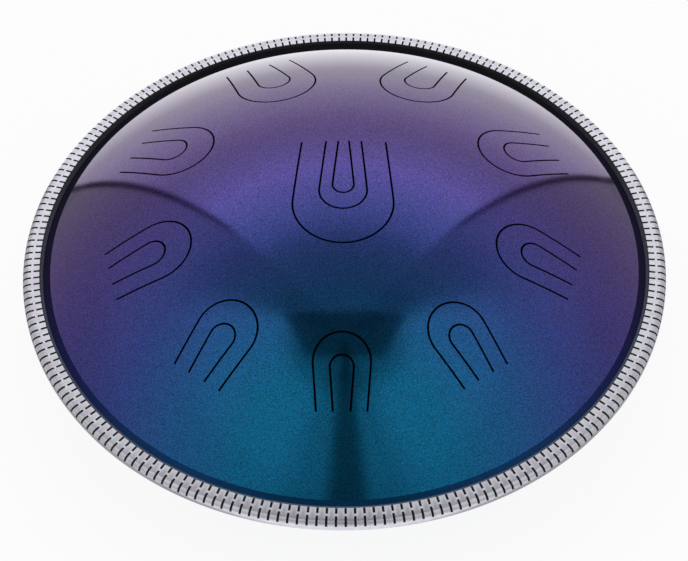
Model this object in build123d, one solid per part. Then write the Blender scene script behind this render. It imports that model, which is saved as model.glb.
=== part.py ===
from build123d import *
import math
import os

# Steel tongue drum: two pressed domes joined at a flat rim, ten note fields cut into the top dome.
# Millimetres, +Z up, floor at z = 0, drum axis on Z, the smallest note field towards -Y.

# Overall sizes
RIM_DIAMETER = 400.0  # over the edge trim
TOP_RISE = 57.0  # top of the playing dome above its flange
BOTTOM_RISE = 57.0  # depth of the bottom dome below its flange
GROUND_CLEARANCE = 6.0  # floor to the lowest point of the bottom shell

# Pressed shells and the seam between them
SHEET = 1.2  # steel sheet of both shells
FLANGE_BEND = 1.5  # inside bend radius between dome and flange
FLANGE_SHOWING = 6.0  # from a dome's base circle to the strip's inner edge
SEAM_FILM = 0.2  # adhesive film between the flanges
FILM_SETBACK = 4.0  # from the dome's base circle to the film's inner edge

# Edge trim: a rubber liner on the flanges and a steel strip folded over it
STRIP_SHEET = 1.2
STRIP_REACH = 10.5  # from the outer edge to the strip's inner edge
STRIP_FLAT = 1.2  # flat height between the strip's two bends
LINER_WALL = 1.5
LINER_LIP = 1.8  # liner showing beyond the strip's inner edge
TRIM_FIT = 0.08  # gap on each seat of the liner

# Sound port in the bottom dome
PORT_DIAMETER = 80.0
PORT_LIP = 8.0  # depth of the turned-in lip
PORT_BEND = 2.0  # inside bend radius of the lip

# Note fields: laser-cut slots with tapering legs and a round tip
SLOT_WIDTH = 1.2
ROOT_GAP = 0.2  # clear line across each tongue's root, where the sheet bends
LEG_TAPER = 4.7  # degrees, each leg closing towards the root
LOWEST_TIP = 26.0  # slot radius at the tip of the lowest ring note
NOTE_STEP_RATIO = 0.943  # each higher note's tip radius over the one below it
TIP_SETBACK = 67.9  # tips' centres inside the dome's base circle
BACK_TIP_SETBACK = 62.9  # the same for the two notes at the back
LEG_BEYOND_TIP = 9.3  # leg length is the tip radius and this much more
BACK_LEG_BEYOND_TIP = 12.8
INNER_TIP_SHARE = 0.413  # inner slot's tip radius over the outer one's
INNER_TIP_SHIFT = 0.195  # inner tip's centre lies further out by this share of the outer tip radius

# Ring notes from low to high, each with its bearing from the front, positive towards +X
RING_BEARINGS = {
    "back_left": -157.9,
    "back_right": 156.6,
    "rear_left": -114.8,
    "rear_right": 113.7,
    "left": -72.5,
    "right": 71.9,
    "front_left": -34.8,
    "front_right": 34.6,
    "front": 0.0,
}

# Centre note, with its root towards the back: tip centre and tip radius of its three slots
CENTRE_ROOT = 37.0
CENTRE_TIPS = {
    "outer": (-14.3, 30.0),
    "middle": (-5.5, 14.3),
    "inner": (-1.2, 6.4),
}

# Rubber feet, square to the bottom dome and levelled at the floor, with their bearings from +X
FOOT_BEARINGS = {
    "back_right": 45.0,
    "back_left": 135.0,
    "front_left": 225.0,
    "front_right": 315.0,
}
FOOT_CIRCLE = 170.0  # diameter through the foot seats
FOOT_TOP_DIAMETER = 27.0
FOOT_FLOOR_DIAMETER = 22.0
FOOT_FIT = 0.05  # gap between a foot or washer and the curved sheet

# Foot fasteners
SCREW_SHANK = 4.8
SCREW_HEAD = 9.0
SCREW_HEAD_HEIGHT = 2.8
SCREW_SOCKET = 3.0  # across flats
SCREW_SOCKET_DEPTH = 1.8
SCREW_RECESS = 9.0  # depth of a foot's recess, from the floor to the washer
SCREW_TAIL = 1.5  # shank beyond the nut
WASHER_OVERHANG = 1.0  # washer beyond the screw head, all round
WASHER_THICKNESS = 1.0
NUT_FLATS = 8.0
NUT_HEIGHT = 4.0
HOLE_CLEARANCE = 0.4  # on the diameter of every hole over the shank
RECESS_CLEARANCE = 1.0  # on the diameter of the recess over the washer
THREAD_CLEARANCE = 0.1  # on the diameter of the nut's bore over the shank

RIM_RADIUS = RIM_DIAMETER / 2
STRIP_INNER = RIM_RADIUS - STRIP_REACH
DOME_BASE = STRIP_INNER - FLANGE_SHOWING  # radius of each dome where it meets its flange
PORT_RADIUS = PORT_DIAMETER / 2
FLANGE_RADIUS = RIM_RADIUS - STRIP_SHEET - LINER_WALL - 2 * TRIM_FIT
FLANGE_STACK = SEAM_FILM / 2 + SHEET  # from the seam's middle to a flange's outer face
LINER_HALF = FLANGE_STACK + TRIM_FIT + LINER_WALL
STRIP_HALF = LINER_HALF + TRIM_FIT + STRIP_SHEET
STRIP_BEND = STRIP_HALF - STRIP_FLAT / 2  # outside bend radius of the strip
SHANK_HOLE = (SCREW_SHANK + HOLE_CLEARANCE) / 2
WASHER_DIAMETER = SCREW_HEAD + 2 * WASHER_OVERHANG
RECESS_RADIUS = (WASHER_DIAMETER + RECESS_CLEARANCE) / 2


def sphere_radius(rise):
    """Outside radius of a dome that rises this far over its base circle."""
    return (DOME_BASE**2 + rise**2) / (2 * rise)


def sphere_centre(rise):
    """Height of a dome's sphere centre over the middle of the seam."""
    return FLANGE_STACK + rise - sphere_radius(rise)


def height_on(radius, centre, distance):
    """Height of a sphere's upper half at a distance from the drum axis."""
    return centre + math.sqrt(radius**2 - distance**2)


def corner(section, distance, height):
    """The section's corner at this distance from the axis and this height, its own X and Y."""
    return min(section.vertices(), key=lambda v: math.hypot(v.X - distance, v.Y - height))


def pressed_shell(rise, port_radius=0.0):
    """A dome with its flange, flange down on the seam, and a turned-in lip round any port."""
    radius = sphere_radius(rise)
    centre = sphere_centre(rise)
    flange_low = SEAM_FILM / 2
    inner = radius - SHEET
    inner_foot = math.sqrt(inner**2 - (flange_low - centre) ** 2)
    lip_wall = port_radius + SHEET if port_radius else 0.0
    crown = height_on(radius, centre, port_radius)
    crown_inside = height_on(inner, centre, lip_wall)
    lip_end = crown - PORT_LIP

    def bearing(x, z):
        return math.degrees(math.atan2(z - centre, x))

    outer_start = bearing(DOME_BASE, FLANGE_STACK)
    inner_start = bearing(inner_foot, flange_low)
    with BuildSketch(Plane.XZ) as section:
        with BuildLine():
            CenterArc((0, centre), radius, outer_start, bearing(port_radius, crown) - outer_start)
            Polyline(
                (DOME_BASE, FLANGE_STACK),
                (FLANGE_RADIUS, FLANGE_STACK),
                (FLANGE_RADIUS, flange_low),
                (inner_foot, flange_low),
            )
            CenterArc((0, centre), inner, inner_start, bearing(lip_wall, crown_inside) - inner_start)
            if port_radius:
                Polyline(
                    (lip_wall, crown_inside),
                    (lip_wall, lip_end),
                    (port_radius, lip_end),
                    (port_radius, crown),
                )
            else:
                Line((0, crown_inside), (0, crown))
        make_face()
        fillet(corner(section, DOME_BASE, FLANGE_STACK), FLANGE_BEND)
        fillet(corner(section, inner_foot, flange_low), FLANGE_BEND + SHEET)
        if port_radius:
            fillet(corner(section, port_radius, crown), PORT_BEND + SHEET)
            fillet(corner(section, lip_wall, crown_inside), PORT_BEND)
    return revolve(section.sketch, Axis.Z)


def slot_outline(root, tip_centre, tip_radius):
    """Flat outline along +X with a straight root, two closing legs and a round tip."""
    taper = math.radians(LEG_TAPER)
    tangent_x = tip_centre + tip_radius * math.sin(taper)
    tangent_y = tip_radius * math.cos(taper)
    half_root = root_half_width(root, tip_centre, tip_radius)
    legs = Polyline(
        (tangent_x, tangent_y),
        (root, half_root),
        (root, -half_root),
        (tangent_x, -tangent_y),
    )
    tip = ThreePointArc(
        (tangent_x, -tangent_y),
        (tip_centre - tip_radius, 0),
        (tangent_x, tangent_y),
    )
    return make_face(legs.edges() + tip.edges())


def root_half_width(root, tip_centre, tip_radius):
    """Half the distance between two legs at the root line."""
    taper = math.radians(LEG_TAPER)
    return (tip_radius - (root - tip_centre) * math.sin(taper)) / math.cos(taper)


def note_fields():
    """Each note field's name with its turn about the axis, its root and its slots' tips."""
    fields = {}
    for step, (name, bearing) in enumerate(RING_BEARINGS.items()):
        at_back = name.startswith("back")
        tip = LOWEST_TIP * NOTE_STEP_RATIO**step
        tip_centre = DOME_BASE - (BACK_TIP_SETBACK if at_back else TIP_SETBACK)
        leg = tip + (BACK_LEG_BEYOND_TIP if at_back else LEG_BEYOND_TIP)
        tips = {
            "outer": (tip_centre, tip),
            "inner": (tip_centre + INNER_TIP_SHIFT * tip, INNER_TIP_SHARE * tip),
        }
        fields[name] = (bearing - 90.0, tip_centre + leg, tips)
    fields["centre"] = (90.0, CENTRE_ROOT, CENTRE_TIPS)
    return fields


def field_opening(root, tips):
    """Everything that one note field takes out of the dome, with round slot ends."""
    tip_centre, tip_radius = tips["outer"]
    opening = slot_outline(root + ROOT_GAP / 2, tip_centre, tip_radius + SLOT_WIDTH / 2)
    for tip_centre, tip_radius in tips.values():
        half_root = root_half_width(root, tip_centre, tip_radius)
        for side in (-half_root, half_root):
            opening += Pos(root, side) * Circle(SLOT_WIDTH / 2)
    return opening


def field_tongues(root, tips):
    """Outline of each tongue of a note field, from the outermost in."""
    outlines = {}
    names = list(tips)
    for name, nested in zip(names, names[1:] + [None]):
        tip_centre, tip_radius = tips[name]
        outline = slot_outline(root - ROOT_GAP / 2, tip_centre, tip_radius - SLOT_WIDTH / 2)
        if nested:
            tip_centre, tip_radius = tips[nested]
            outline -= slot_outline(root, tip_centre, tip_radius + SLOT_WIDTH / 2)
        outlines[name] = outline
    return outlines


def top_shell_and_tongues():
    """The playing dome with its note fields cut out, and the tongues that fill them."""
    dome = pressed_shell(TOP_RISE)
    tall = FLANGE_STACK + TOP_RISE + SHEET
    openings = []
    pieces = {}
    for field, (turn, root, tips) in note_fields().items():
        placed = Rot(0, 0, turn)
        openings.append(placed * extrude(field_opening(root, tips), tall))
        for name, outline in field_tongues(root, tips).items():
            pieces[f"tongue_{field}_{name}"] = dome & (placed * extrude(outline, tall))
    return {"top_shell": dome - openings, **pieces}


def folded_channel(outer_radius, half_height, wall, inner_radius, bend, inside_bend):
    """A U channel round the rim, open towards the drum axis."""
    reach = outer_radius - inner_radius
    inside = outer_radius - wall
    inside_half = half_height - wall
    with BuildSketch(Plane.XZ) as section:
        with Locations((inner_radius + reach / 2, 0)):
            Rectangle(reach, 2 * half_height)
        fillet([corner(section, outer_radius, z) for z in (-half_height, half_height)], bend)
        with Locations((inside - reach / 2, 0)):
            Rectangle(reach, 2 * inside_half, mode=Mode.SUBTRACT)
        if inside_bend:
            fillet([corner(section, inside, z) for z in (-inside_half, inside_half)], inside_bend)
    return revolve(section.sketch, Axis.Z)


def edge_trim():
    """The rubber liner, square inside to seat on the flanges, and the steel strip folded over it."""
    strip_inside_bend = STRIP_BEND - STRIP_SHEET
    liner_outer = RIM_RADIUS - STRIP_SHEET - TRIM_FIT
    liner_inner = STRIP_INNER - LINER_LIP
    liner_bend = strip_inside_bend - TRIM_FIT
    return {
        "rim_trim": folded_channel(
            RIM_RADIUS, STRIP_HALF, STRIP_SHEET, STRIP_INNER, STRIP_BEND, strip_inside_bend
        ),
        "trim_liner": folded_channel(
            liner_outer, LINER_HALF, LINER_WALL, liner_inner, liner_bend, 0.0
        ),
    }


def flat_ring(outer_radius, inner_radius, thickness):
    """A flat ring that rises from z = 0."""
    return extrude(Circle(outer_radius) - Circle(inner_radius), thickness)


def seam_film():
    """The thin adhesive ring that joins the two flanges."""
    return Pos(0, 0, -SEAM_FILM / 2) * flat_ring(FLANGE_RADIUS, DOME_BASE + FILM_SETBACK, SEAM_FILM)


def foot_seats():
    """A frame on the bottom dome's outside for each foot, its Z pointing into the drum."""
    radius = sphere_radius(BOTTOM_RISE)
    centre = Vector(0, 0, -sphere_centre(BOTTOM_RISE))
    drop = math.sqrt(radius**2 - (FOOT_CIRCLE / 2) ** 2)
    seats = {}
    for name, bearing in FOOT_BEARINGS.items():
        turn = math.radians(bearing)
        outwards = Vector(math.cos(turn), math.sin(turn), 0)
        seat = centre + outwards * (FOOT_CIRCLE / 2) - Vector(0, 0, drop)
        seats[name] = Plane(seat, x_dir=Vector(-outwards.Y, outwards.X, 0), z_dir=centre - seat)
    return seats


def foot_length(seat, floor):
    """Distance from a foot's seat to the floor along the foot's own axis."""
    return (seat.origin.Z - floor) / seat.z_dir.Z


def rubber_foot(seat, floor):
    """A tapering rubber foot with a screw recess, hollowed to the dome and cut level at the floor."""
    length = foot_length(seat, floor)
    below = 2 * length
    top = FOOT_TOP_DIAMETER / 2
    end = top - 2 * (top - FOOT_FLOOR_DIAMETER / 2)
    washer_seat = SCREW_RECESS - length
    with BuildSketch(Plane.XZ) as section:
        Polygon(
            (SHANK_HOLE, SHEET),
            (top, SHEET),
            (top, 0),
            (end, -below),
            (RECESS_RADIUS, -below),
            (RECESS_RADIUS, washer_seat),
            (SHANK_HOLE, washer_seat),
            align=None,
        )
    body = seat.location * revolve(section.sketch, Axis.Z)
    dome = Pos(0, 0, -sphere_centre(BOTTOM_RISE)) * Sphere(sphere_radius(BOTTOM_RISE) + FOOT_FIT)
    underground = Pos(0, 0, floor - below) * Box(RIM_DIAMETER, RIM_DIAMETER, 2 * below)
    return body - dome - underground


def foot_screw(head_seat):
    """A button-head screw with the underside of its head at this height and its tip up."""
    tip = SHEET + FOOT_FIT + WASHER_THICKNESS + NUT_HEIGHT + SCREW_TAIL
    head_end = head_seat - SCREW_HEAD_HEIGHT
    shank = Pos(0, 0, head_seat) * extrude(Circle(SCREW_SHANK / 2), tip - head_seat)
    head = Pos(0, 0, head_end) * extrude(Circle(SCREW_HEAD / 2), SCREW_HEAD_HEIGHT)
    head = fillet(head.edges().group_by(Axis.Z)[0], SCREW_HEAD_HEIGHT / 2)
    socket = RegularPolygon(SCREW_SOCKET / 2, 6, major_radius=False)
    return shank + head - Pos(0, 0, head_end) * extrude(socket, SCREW_SOCKET_DEPTH)


def foot_hardware(length):
    """The fasteners of a foot this long, with the dome's outside at z = 0."""
    inside = SHEET + FOOT_FIT
    head_seat = SCREW_RECESS - length - WASHER_THICKNESS
    washer = flat_ring(WASHER_DIAMETER / 2, SHANK_HOLE, WASHER_THICKNESS)
    nut = RegularPolygon(NUT_FLATS / 2, 6, major_radius=False)
    nut -= Circle((SCREW_SHANK + THREAD_CLEARANCE) / 2)
    return {
        "foot_screws": foot_screw(head_seat),
        "foot_washers": Pos(0, 0, head_seat) * washer,
        "nut_washers": Pos(0, 0, inside) * washer,
        "foot_nuts": Pos(0, 0, inside + WASHER_THICKNESS) * extrude(nut, NUT_HEIGHT),
    }


def bottom_shell_and_feet():
    """The bottom dome with its port, the feet under it and their fasteners, and the floor's height."""
    shell = mirror(pressed_shell(BOTTOM_RISE, PORT_RADIUS), about=Plane.XY)
    floor = shell.bounding_box().min.Z - GROUND_CLEARANCE
    seats = foot_seats()
    drill = Pos(0, 0, -SHEET) * extrude(Circle(SHANK_HOLE), 3 * SHEET)
    pieces = {"bottom_shell": shell - [seat.location * drill for seat in seats.values()]}
    for name, seat in seats.items():
        pieces[f"foot_{name}"] = rubber_foot(seat, floor)
    length = min(foot_length(seat, floor) for seat in seats.values())
    for name, fastener in foot_hardware(length).items():
        pieces[name] = Compound(children=[seat.location * fastener for seat in seats.values()])
    return pieces, floor


def drum_pieces():
    """Every piece of the drum by name, standing on the floor at z = 0."""
    lower, floor = bottom_shell_and_feet()
    pieces = {**top_shell_and_tongues(), **lower, **edge_trim(), "seam_film": seam_film()}
    return {name: Pos(0, 0, -floor) * piece for name, piece in pieces.items()}


os.makedirs("parts", exist_ok=True)
for node, piece in drum_pieces().items():
    export_step(piece, f"parts/{node}.step")
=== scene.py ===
"""Steel tongue drum: painted domes, bending tongues, slotted rim trim and feet, built round the CAD frame."""

import math

import bmesh
import bpy
from bpy.props import FloatProperty, FloatVectorProperty, IntProperty, PointerProperty
from mathutils import Matrix, Vector


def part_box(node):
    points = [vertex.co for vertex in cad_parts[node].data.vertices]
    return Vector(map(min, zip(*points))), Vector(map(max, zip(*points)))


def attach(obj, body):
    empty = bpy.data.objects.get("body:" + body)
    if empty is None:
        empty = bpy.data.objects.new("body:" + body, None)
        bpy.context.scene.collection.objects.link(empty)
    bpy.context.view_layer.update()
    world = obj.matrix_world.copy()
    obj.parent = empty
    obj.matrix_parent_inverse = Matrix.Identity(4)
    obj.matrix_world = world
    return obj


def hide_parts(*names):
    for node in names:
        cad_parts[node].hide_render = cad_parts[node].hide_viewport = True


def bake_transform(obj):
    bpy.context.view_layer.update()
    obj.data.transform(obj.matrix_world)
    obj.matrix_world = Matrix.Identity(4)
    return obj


bl_info = {
    "name": "Steel Tongue Drum",
    "version": (1, 0, 0),
    "blender": (4, 5, 0),
    "location": "View3D > Sidebar > Drum",
    "description": "Builds the visible pieces of a steel tongue drum around its CAD frame",
    "category": "Object",
}

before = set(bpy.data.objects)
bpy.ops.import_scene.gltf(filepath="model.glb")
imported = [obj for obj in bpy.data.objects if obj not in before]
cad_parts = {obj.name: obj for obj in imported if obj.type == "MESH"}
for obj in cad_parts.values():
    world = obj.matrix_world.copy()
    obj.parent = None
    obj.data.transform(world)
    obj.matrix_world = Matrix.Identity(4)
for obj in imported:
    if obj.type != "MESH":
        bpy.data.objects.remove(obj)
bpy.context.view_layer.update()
RIM_LOW, RIM_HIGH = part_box("rim_trim")
LINER_LOW, LINER_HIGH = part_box("trim_liner")
FLANGE_LOW, FLANGE_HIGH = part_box("top_shell")
MM = 0.001

# Bearing of each ring note from the front, positive towards +X, from the lowest note to the highest
RING_BEARINGS = {
    "back_left": -157.9,
    "back_right": 156.6,
    "rear_left": -114.8,
    "rear_right": 113.7,
    "left": -72.5,
    "right": 71.9,
    "front_left": -34.8,
    "front_right": 34.6,
    "front": 0.0,
}

# Tip centre and tip radius of the centre note's three slots, in millimetres
CENTRE_TIPS = {
    "outer": (-14.3, 30.0),
    "middle": (-5.5, 14.3),
    "inner": (-1.2, 6.4),
}

# Bearing of each foot from +X
FOOT_BEARINGS = {
    "back_right": 45.0,
    "back_left": 135.0,
    "front_left": 225.0,
    "front_right": 315.0,
}

# The place on the dome that faces the player squarely, and how far from it the paint's tones reach. Round it
# the paint's colour shift is painted as the front view shows it, a painted sheen fixed on the dome; the
# flange and the liner's lip take their painted light from it too
PAINT_POLE = (0.0025, -0.17, 0.0716)
PAINT_REACH = 0.36

# Cutting and dressing
CUTTER_HEIGHT = 1.2  # height of a cutter over the dome's rise
FLANGE_SHADING_START = 0.98  # beyond this share of the dome's base, faces off the painted dome get the flange's painted shading
ON_SPHERE = 0.99  # how squarely a face of the dome looks along the sphere's radius
CUT_FACES = (0.2, 0.8)  # depths in the strip's sheet, as shares of it, where only cut faces lie
FLAT_ANGLE = math.radians(1.0)  # faces of the strip that meet below this angle become one

# The light tent round the drum. Angles are in degrees, counted from its back towards both sides
TENT_TURN = 1.0  # turn of the whole tent about the drum axis
TENT_CORNER = 37.5  # seam between the back wall and a side wall
CORNER_FADE = (36.5, 38.5)
SEAM_FADE = (0.3, 1.1)
SEAM_END = (44.0, 56.0)  # heights over which the seam fades out
FRONT_FADE = (56.0, 76.0)  # from a side wall to the front wall
DUSK_FADE = (145.0, 165.0)  # the front wall dims towards its gap
GAP_FADE = (168.0, 176.0)
GAP_FOOT = (30.0, 45.0)  # heights over which the gap begins

# Brightness up the tent's walls, in pairs of a height and a level
BACK_WALL = (
    (0, 1.02), (9, 0.94), (15, 0.87), (21, 0.73), (27, 0.68), (33, 0.78), (41, 1.0),
    (46, 0.92), (51, 0.82), (57, 0.66), (63, 0.41), (69, 0.32), (75, 0.28), (82, 0.29),
)
SIDE_WALL = (
    (0, 0.48), (9, 0.49), (15, 0.47), (21, 0.47), (27, 0.49), (33, 0.53), (39, 0.54),
    (45, 0.53), (51, 0.46), (57, 0.37), (63, 0.34), (69, 0.3), (75, 0.24), (82, 0.25),
)
FRONT_WALL = (
    (0, 0.8), (12, 0.55), (18, 0.45), (24, 0.45), (30, 0.47), (36, 0.55), (45, 0.58),
    (51, 0.6), (58, 0.69), (69, 0.7), (74, 0.68), (79, 0.37), (84, 0.3),
)

# The dark opening overhead, measured on a level one unit above the drum
OPENING_HALF = 0.196
OPENING_FLARE = 0.48
OPENING_SOFT = 0.015
OPENING_BACK = (0.1, 0.13)
OPENING_FRONT = (-0.1, -0.07)
OPENING_LEVEL = 0.4

# The floor: how bright it looks to the camera, and where its mirrored halves meet in front of the axis
CAMERA_LEVEL = 1.11
FLOOR_APEX = 0.176


def length(name, description, default):
    """A size of the drum, in metres."""
    return FloatProperty(name=name, description=description, default=default, unit="LENGTH", precision=5)


def share(name, description, default):
    """A plain ratio."""
    return FloatProperty(name=name, description=description, default=default, subtype="FACTOR")


def angle(name, description, degrees):
    """An angle of the drum or the stage."""
    return FloatProperty(name=name, description=description, default=math.radians(degrees), subtype="ANGLE")


def colour(name, description, default):
    """A colour in linear light."""
    return FloatVectorProperty(
        name=name, description=description, default=default, subtype="COLOR", size=3, min=0.0, max=1.0
    )


def count(name, description, default):
    """A number of steps or repeats."""
    return IntProperty(name=name, description=description, default=default, min=1)


class DrumShells(bpy.types.PropertyGroup):
    """Sizes of the two pressed shells."""

    seam: length("Seam height", "Middle of the seam above the floor", (RIM_LOW.z + RIM_HIGH.z) / 2)
    base: length("Dome base", "Radius of each dome where it meets its flange", 183.5 * MM)
    rise: length("Dome rise", "Top of a dome above its flange", 57 * MM)
    sheet: length("Sheet", "Steel sheet of both shells", 1.2 * MM)
    film: length("Seam film", "Adhesive between the flanges", 0.2 * MM)
    bend: length("Flange bend", "Inside bend radius between dome and flange", 1.5 * MM)
    flange: length("Flange radius", "Outer edge of both flanges", FLANGE_HIGH.x)
    port: length("Port radius", "Sound port in the bottom dome", 40 * MM)
    lip: length("Port lip", "Depth of the port's turned-in lip", 8 * MM)
    lip_bend: length("Lip bend", "Inside bend radius of the lip", 2 * MM)
    turns: count("Facets round", "Steps round the drum axis", 360)
    rings: count("Facets up", "Steps from the dome's base to its top", 72)


class DrumNotes(bpy.types.PropertyGroup):
    """Sizes of the note fields."""

    slot: length("Slot width", "Width of each laser-cut slot", 1.2 * MM)
    taper: angle("Leg taper", "Each leg closes towards the root by this angle", 4.7)
    lowest_tip: length("Lowest tip", "Slot radius at the tip of the lowest ring note", 26 * MM)
    step: share("Note step", "Each higher note's tip radius over the one below it", 0.943)
    tips: length("Tip circle", "Radius through the tips' centres", 115.6 * MM)
    back_tips: length("Back tip circle", "The same for the two notes at the back", 120.6 * MM)
    leg: length("Leg beyond tip", "Leg length beyond the tip radius", 9.3 * MM)
    back_leg: length("Back leg beyond tip", "The same for the two notes at the back", 12.8 * MM)
    inner_share: share("Inner tip", "Inner slot's tip radius over the outer one's", 0.413)
    inner_shift: share("Inner shift", "Inner tip's centre further out, over the outer tip radius", 0.195)
    centre_root: length("Centre root", "Root line of the centre note behind the drum axis", 37 * MM)
    bend_share: share("Bending share", "Share of a tongue's length over which it bends", 0.75)
    tip_steps: count("Tip facets", "Steps round a slot's tip", 40)


class DrumTrim(bpy.types.PropertyGroup):
    """Sizes of the steel strip and the rubber liner at the rim."""

    radius: length("Rim radius", "Outer edge of the strip", RIM_HIGH.x)
    half: length("Strip half height", "Half the strip's height", (RIM_HIGH.z - RIM_LOW.z) / 2)
    reach: length("Strip reach", "From the outer edge to the strip's inner edge", 10.5 * MM)
    sheet: length("Strip sheet", "Thickness of the strip", 1.2 * MM)
    flat: length("Strip flat", "Flat height between the strip's two bends", 1.2 * MM)
    finger: length("Finger slot", "Length of the slots that are open at the strip's inner edge", 3.6 * MM)
    spine: length("Spine", "Uncut band between the two rows of slots", 1.4 * MM)
    slot: length("Strip slot", "Width of the strip's slots", 1.35 * MM)
    slot_end: angle("Slot end", "Where a closed slot ends on the bend, above the horizontal", 20)
    phase: share("Phase", "Turn of the strip round the rim, over one link", 0.22)
    links: count("Links", "Slots round the whole strip", 237)
    liner_radius: length("Liner radius", "Outer edge of the rubber liner", LINER_HIGH.x)
    liner_half: length("Liner half height", "Half the liner's height", (LINER_HIGH.z - LINER_LOW.z) / 2)
    liner_wall: length("Liner wall", "Thickness of the liner", 1.5 * MM)
    liner_lip: length("Liner lip", "Liner showing beyond the strip's inner edge", 1.8 * MM)
    lip_round: length("Lip rounding", "Rounding of the liner's lip", 0.5 * MM)


class DrumFeet(bpy.types.PropertyGroup):
    """Sizes of the rubber feet."""

    circle: length("Foot circle", "Radius through the foot seats", 85 * MM)
    top: length("Foot top", "Radius of a foot at the dome", 13.5 * MM)
    floor: length("Foot floor", "Radius of a foot near the floor", 11 * MM)
    shank: length("Shank hole", "Radius of the screw's hole", 2.6 * MM)
    recess: length("Recess", "Radius of the screw recess", 6 * MM)
    recess_depth: length("Recess depth", "Depth of the recess from the floor", 9 * MM)
    fit: length("Foot fit", "Gap between a foot and the dome", 0.05 * MM)
    round: length("Foot rounding", "Rounding of a foot's edges", 0.8 * MM)


class DrumFinish(bpy.types.PropertyGroup):
    """Colours and gloss of the drum."""

    # The paint tones below are the colour shift painted as a fixed gradient, a painted sheen as the front
    # view shows it, darker at the back edge
    paint_front: colour("Paint, front", "Colour-shift paint where it faces the player", (0.0, 0.142, 0.297))
    paint_near: colour("Paint, near", "Colour-shift paint towards the middle", (0.014, 0.113, 0.325))
    paint_middle: colour("Paint, middle", "Colour-shift paint in the middle", (0.042, 0.076, 0.325))
    paint_side: colour("Paint, side", "Colour-shift paint beyond the middle", (0.092, 0.068, 0.315))
    paint_far: colour("Paint, far", "Colour-shift paint towards the back", (0.122, 0.074, 0.27))
    paint_back: colour("Paint, back", "Colour-shift paint at the back edge", (0.12, 0.08, 0.18))
    paint_rough: share("Paint roughness", "Roughness of the metallic layer", 0.09)
    coat_rough: share("Coat roughness", "Roughness of the clear coat", 0.03)
    # The primer is the shells' inside colour and also the black end of the flange's painted shade at the
    # back. The four flange tones after it are painted light, not paint: a painted reflection, bluest near the
    # front, fading to painted shade at the sides
    primer: colour("Primer", "Primer inside the shells and on the back flange", (0.003, 0.003, 0.007))
    flange_shading_front: colour("Overspray, front", "Thin paint on the flange at the front", (0.0, 0.04, 0.11))
    flange_shading_near: colour("Overspray, near", "Thin paint on the flange beside the front", (0.006, 0.06, 0.19))
    flange_shading_flank: colour("Overspray, flank", "Thin paint on the flange before a side", (0.014, 0.018, 0.105))
    flange_shading_side: colour("Overspray, side", "Thin paint on the flange at the sides", (0.014, 0.01, 0.045))
    # The lip tones are a painted highlight on the black rubber, lightest and bluest at the front
    lip_highlight_front: colour("Lip, front", "Dusty rubber lip at the front", (0.13, 0.19, 0.27))
    lip_highlight_side: colour("Lip, side", "Dusty rubber lip at the sides", (0.09, 0.1, 0.15))
    steel: colour("Strip steel", "Bright stamped steel", (0.85, 0.89, 0.96))
    steel_dull: colour("Strip steel, dull", "Duller patches of the stamped steel", (0.76, 0.71, 0.81))
    # The strip's cut faces are darkened to this tone as painted shade
    edge: colour("Sheared edge", "Dark sheared edges of the strip", (0.03, 0.033, 0.04))
    rubber: colour("Rubber", "Black rubber", (0.012, 0.012, 0.014))
    zinc: colour("Zinc", "Zinc-plated fasteners", (0.6, 0.62, 0.64))
    adhesive: colour("Adhesive", "Cured adhesive film", (0.04, 0.04, 0.045))


class DrumStage(bpy.types.PropertyGroup):
    """Camera and floor."""

    distance: length("Camera distance", "Camera to the middle of the rim", 0.8917)
    elevation: angle("Camera elevation", "Camera above the horizon", 49.49)
    azimuth: angle("Camera azimuth", "Camera round towards +X", 1.0)
    roll: angle("Camera roll", "Turn of the camera about its own axis", -0.74)
    lens: FloatProperty(name="Lens", description="Focal length in millimetres", default=74.15)
    shift_y: FloatProperty(name="Shift Y", description="Upright framing", default=-0.0498)
    floor: colour("Floor", "Pale studio floor", (0.955, 0.955, 0.955))


def shells():
    return bpy.context.scene.drum_shells


def notes():
    return bpy.context.scene.drum_notes


def trim():
    return bpy.context.scene.drum_trim


def feet():
    return bpy.context.scene.drum_feet


def finish():
    return bpy.context.scene.drum_finish


def stage():
    return bpy.context.scene.drum_stage


# Mesh helpers

SECTION_AXIS = (0.0, -1.0, 0.0)  # a positive turn about it is anticlockwise in a section of X and Z
DRUM_AXIS = (0.0, 0.0, 1.0)
WELD = 1e-6


def only(kind, geometry):
    """The parts of one kind in an operator's result."""
    return [part for part in geometry if isinstance(part, kind)]


def everything(bm):
    return bm.verts[:] + bm.edges[:] + bm.faces[:]


def face_out(bm):
    """Turns every closed shell's faces outwards."""
    bmesh.ops.recalc_face_normals(bm, faces=bm.faces[:])


def lift_to_seam(bm):
    """Moves a section that was drawn about the seam to the seam's height."""
    bmesh.ops.translate(bm, verts=bm.verts[:], vec=(0.0, 0.0, shells().seam))


def run_line(bm, vert, place):
    """Carries a chain of edges on from vert to a place."""
    end = bmesh.ops.extrude_vert_indiv(bm, verts=[vert])["verts"][0]
    end.co = place
    return end


def run_arc(bm, vert, centre, axis, turn, steps):
    """Carries a chain of edges on from vert in an arc."""
    made = bmesh.ops.spin(bm, geom=[vert], cent=centre, axis=axis, angle=turn, steps=steps)
    return only(bmesh.types.BMVert, made["geom_last"])[0]


def spin_round(bm, steps):
    """Turns a section into a closed solid round the drum axis."""
    section = bm.verts[:] + bm.edges[:]
    bmesh.ops.spin(bm, geom=section, axis=DRUM_AXIS, angle=math.tau, steps=steps, use_merge=True)
    bmesh.ops.remove_doubles(bm, verts=bm.verts[:], dist=WELD)
    face_out(bm)


def new_object(name, bm):
    """A linked object with the bmesh as its mesh."""
    mesh = bpy.data.meshes.new(name)
    bm.to_mesh(mesh)
    bm.free()
    made = bpy.data.objects.new(name, mesh)
    bpy.context.scene.collection.objects.link(made)
    return made


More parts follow.
